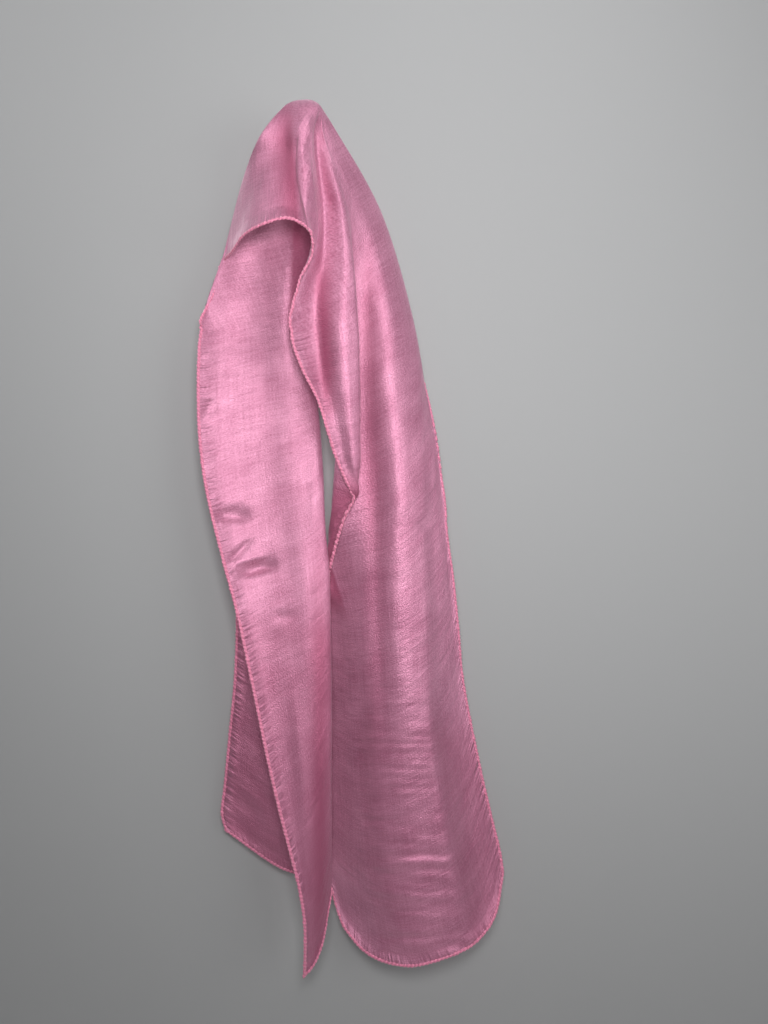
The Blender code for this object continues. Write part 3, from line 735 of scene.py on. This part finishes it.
# Stitched edge
# All four sides of the silk are rolled under a dense overlock stitch of a slightly brighter pink thread,
# so the edge is a little rope of slanted loops. It runs round the whole rectangle without a break.
STITCH_PITCH = 2.4
RINGS_PER_STITCH = 6
ROPE_SIDES = 11
ROPE_HALF_WIDTH = 0.95
ROPE_HALF_HEIGHT = 0.7
STITCH_SWELL = 0.45
SWELL_MIDDLE = 0.6
ROPE_INSET = 0.75
ROPE_UNEVENNESS = 0.3
UNEVEN_REACH = 4.0
UNEVEN_SEED = 7.0
TANGENT_REACH = 2
# The thread's pink, and the colour of the painted shade in the grooves between its loops.
ROPE_PINK = (0.62, 0.19, 0.3, 1.0)
ROPE_GROOVE_SHADE = (0.38, 0.09, 0.17, 1.0)
THREAD_ROUGHNESS = 0.55
THREAD_SHEEN = 0.3
FIBRES = ((2200.0, 2200.0, 2200.0), 2.0)
FIBRE_STRENGTH = 0.4
FIBRE_DEPTH = 0.0003
HALF_LOOP = 0.5
GROOVE_SHADE_TONE = 1.1
FIBRE_TONE = 0.6

right_cloth, left_cloth = tails[0][0], tails[1][0]
front_left = hood_pressed[left_columns[-1] + 1:]
front_right = hood_pressed[:right_columns[0]]
behind_peg = hood_pressed[right_columns[-1] + 1:left_columns[0]]
# The rim in one round, each stretch with a row of the cloth a little further in.
sides = (
    (left_cloth[-1, ::-1], left_cloth[-2, ::-1]),
    (front_left[:, -1], front_left[:, INNER_ROW]),
    (front_right[:, -1], front_right[:, INNER_ROW]),
    (right_cloth[0], right_cloth[1]),
    (right_cloth[1:, -1], right_cloth[1:, INNER_ROW]),
    (right_cloth[-1, -2::-1], right_cloth[-2, -2::-1]),
    (behind_peg[:, -1], behind_peg[:, INNER_ROW]),
    (left_cloth[0], left_cloth[1]),
    (left_cloth[1:-1, -1], left_cloth[1:-1, INNER_ROW]),
)
rim = np.concatenate([outer for outer, inner in sides])
inward = np.concatenate([inner - outer for outer, inner in sides])
inward /= np.linalg.norm(inward, axis=-1, keepdims=True)
rim = np.concatenate([rim, rim[:1]])
inward = np.concatenate([inward, inward[:1]])
rim_length = travelled(rim)
stitch_count = round(rim_length[-1] / STITCH_PITCH)
ring_count = stitch_count * RINGS_PER_STITCH
ring_at = np.arange(ring_count) / ring_count * rim_length[-1]
centre = np.stack([np.interp(ring_at, rim_length, rim[:, axis]) for axis in range(3)], axis=-1)
inner_way = np.stack([np.interp(ring_at, rim_length, inward[:, axis]) for axis in range(3)], axis=-1)
tangent = np.roll(centre, -TANGENT_REACH, axis=0) - np.roll(centre, TANGENT_REACH, axis=0)
tangent /= np.linalg.norm(tangent, axis=-1, keepdims=True)
inner_way -= tangent * np.sum(inner_way * tangent, axis=-1, keepdims=True)
inner_way /= np.linalg.norm(inner_way, axis=-1, keepdims=True)
face_way = np.cross(tangent, inner_way)
centre = centre + inner_way * ROPE_INSET
turn = 2 * np.pi * np.arange(ROPE_SIDES) / ROPE_SIDES
slant = np.arange(ring_count)[:, None] / RINGS_PER_STITCH + np.arange(ROPE_SIDES) / ROPE_SIDES
swell = 1 + STITCH_SWELL * (abs(np.sin(np.pi * slant)) - SWELL_MIDDLE)
swell *= 1 + ROPE_UNEVENNESS * ripple(ring_at / UNEVEN_REACH, 0 * ring_at, UNEVEN_SEED)[:, None]
wide = ROPE_HALF_WIDTH * np.cos(turn) * swell
high = ROPE_HALF_HEIGHT * np.sin(turn) * swell
rope_corners = centre[:, None] + inner_way[:, None] * wide[..., None] + face_way[:, None] * high[..., None]
rope_numbers = np.arange(ring_count * ROPE_SIDES).reshape(ring_count, ROPE_SIDES)
after_ring = np.roll(rope_numbers, -1, axis=0)
after_side = np.roll(rope_numbers, -1, axis=1)
quads = np.stack([rope_numbers, after_side, np.roll(after_side, -1, axis=0), after_ring], axis=-1)
rope_mesh = bpy.data.meshes.new("stitched_edge")
rope_mesh.from_pydata((rope_corners.reshape(-1, 3) * MM).tolist(), [], quads.reshape(-1, 4).tolist())
rope_map = rope_mesh.uv_layers.new(name="stitches")
one_ring = 1 / RINGS_PER_STITCH
one_side = 1 / ROPE_SIDES
corner_slant = np.stack([slant, slant + one_side, slant + one_side + one_ring, slant + one_ring], axis=-1)
rope_map.data.foreach_set("uv", np.stack([corner_slant, corner_slant], axis=-1).ravel())
rope_mesh.shade_smooth()
rope = bpy.data.objects.new("stitched_edge", rope_mesh)
bpy.context.scene.collection.objects.link(rope)
rope_paint, shader, start_node = paint("edge_thread", THREAD_ROUGHNESS)
rope_place = start_node.node("ShaderNodeTexCoord", {}, {}, 3)
fibres = rope_place.grain(*FIBRES)
loop_place = start_node.node("ShaderNodeUVMap", {"uv_map": "stitches"}, {})
loop_at = loop_place.node("ShaderNodeSeparateXYZ", {}, {"Vector": loop_place})
# The thread is painted darker in the grooves between its loops, as painted shade, and its tone varies at
# random with its fibres.
loops = loop_at.math("PINGPONG", loop_at, HALF_LOOP) * GROOVE_SHADE_TONE + fibres * FIBRE_TONE
loops.mixed(ROPE_GROOVE_SHADE, ROPE_PINK).into(shader.inputs["Base Color"])
fibres.bumped(FIBRE_STRENGTH, FIBRE_DEPTH).into(shader.inputs["Normal"])
shader.inputs["Sheen Weight"].default_value = THREAD_SHEEN
rope.data.materials.append(rope_paint)
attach(rope, "root")


# Wall peg
# A small peg of satin white plastic with a round plate, held to the wall. The model's own solid has its true
# shape, so it only gets its finish, with a slight grain.
PEG_WHITE = (0.78, 0.77, 0.74, 1.0)
PEG_WORN = (0.70, 0.68, 0.64, 1.0)
PEG_ROUGHNESS = 0.45
PEG_GRAIN = ((900.0, 90.0, 900.0), 3.0)
PEG_GRAIN_STRENGTH = 0.2
PEG_GRAIN_DEPTH = 0.0002
peg_paint, shader, start_node = paint("peg_paint", PEG_ROUGHNESS)
peg_place = start_node.node("ShaderNodeTexCoord", {}, {}, 3)
peg_grain = peg_place.grain(*PEG_GRAIN)
peg_grain.mixed(PEG_WORN, PEG_WHITE).into(shader.inputs["Base Color"])
peg_grain.bumped(PEG_GRAIN_STRENGTH, PEG_GRAIN_DEPTH).into(shader.inputs["Normal"])
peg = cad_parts["wall_peg"]
for slot in peg.material_slots:
    slot.material = peg_paint


# Room
# A plain painted wall that the peg is fixed to, a plain pale floor below it, and soft light from beside the
# eye. The wall shows from the room's side only and casts no shadow, so the scarf's back can be seen.
WALL_SIZE = 3.0
WALL_GAP = 0.0008
WALL_ROUGHNESS = 0.8
FLOOR_SIZE = 8.0
FLOOR_HEIGHT = -0.8
FLOOR_ROUGHNESS = 0.7
WALL_GREY = (0.272, 0.273, 0.275, 1.0)
FLOOR_PALE = (0.72, 0.71, 0.69, 1.0)
wall_paint, shader, start_node = paint("wall_paint", WALL_ROUGHNESS)
shader.inputs["Base Color"].default_value = WALL_GREY
from_behind = start_node.node("ShaderNodeNewGeometry", {}, {}, "Backfacing")
clear = start_node.node("ShaderNodeBsdfTransparent", {}, {})
front = Shade(wall_paint.node_tree, shader.outputs[0])
shown = start_node.node("ShaderNodeMixShader", {}, {0: from_behind, 1: front, 2: clear})
shown.into(wall_paint.node_tree.nodes["Material Output"].inputs["Surface"])
floor_paint, shader, start_node = paint("floor_paint", FLOOR_ROUGHNESS)
shader.inputs["Base Color"].default_value = FLOOR_PALE
for name, size, place, turn_x, finish in (
    ("room_wall", WALL_SIZE, (0.0, WALL_GAP, FLOOR_HEIGHT + WALL_SIZE / 2), math.radians(90), wall_paint),
    ("room_floor", FLOOR_SIZE, (0.0, 0.0, FLOOR_HEIGHT), 0.0, floor_paint),
):
    bpy.ops.mesh.primitive_plane_add(size=size, location=place, rotation=(turn_x, 0.0, 0.0))
    plane = bpy.context.active_object
    plane.name = name
    plane.data.materials.append(finish)
    plane.visible_shadow = name != "room_wall"
    bpy.ops.object.transform_apply(location=True, rotation=True, scale=True)
    plane.select_set(False)

# Each light: name, power, size, place, and the place it is turned to. Two of them cast no shadow.
SHADOWLESS = ("top_light", "left_light")
AIR_COLOUR = (0.9, 0.95, 1.0, 1.0)
AIR_STRENGTH = 0.13
LIGHTS = (
    ("eye_light", 2.05, 0.12, (0.05, -0.50, -0.15), (0.04, 0.0, -0.16)),
    ("top_light", 1.4, 0.3, (0.14, -0.36, 0.24), (0.0, 0.0, 0.02)),
    ("left_light", 1.0, 0.3, (-0.40, -0.34, 0.20), (0.0, 0.0, -0.04)),
    ("right_light", 1.7, 0.4, (0.50, -0.50, -0.20), (0.05, 0.0, -0.15)),
    ("back_light", 9.0, 0.6, (-0.5, 0.9, 0.3), (0.0, 0.0, -0.25)),
)
for name, power, size, place, aim in LIGHTS:
    light_data = bpy.data.lights.new(name, "AREA")
    light_data.energy = power
    light_data.size = size
    light_data.use_shadow = name not in SHADOWLESS
    light = bpy.data.objects.new(name, light_data)
    light.location = place
    light.rotation_euler = (Vector(place) - Vector(aim)).to_track_quat("Z", "Y").to_euler()
    bpy.context.scene.collection.objects.link(light)
room_air = bpy.data.worlds.new("room_air")
room_air.use_nodes = True
air = room_air.node_tree.nodes["Background"]
air.inputs["Color"].default_value = AIR_COLOUR
air.inputs["Strength"].default_value = AIR_STRENGTH
bpy.context.scene.world = room_air
bpy.context.scene.view_settings.view_transform = "Standard"
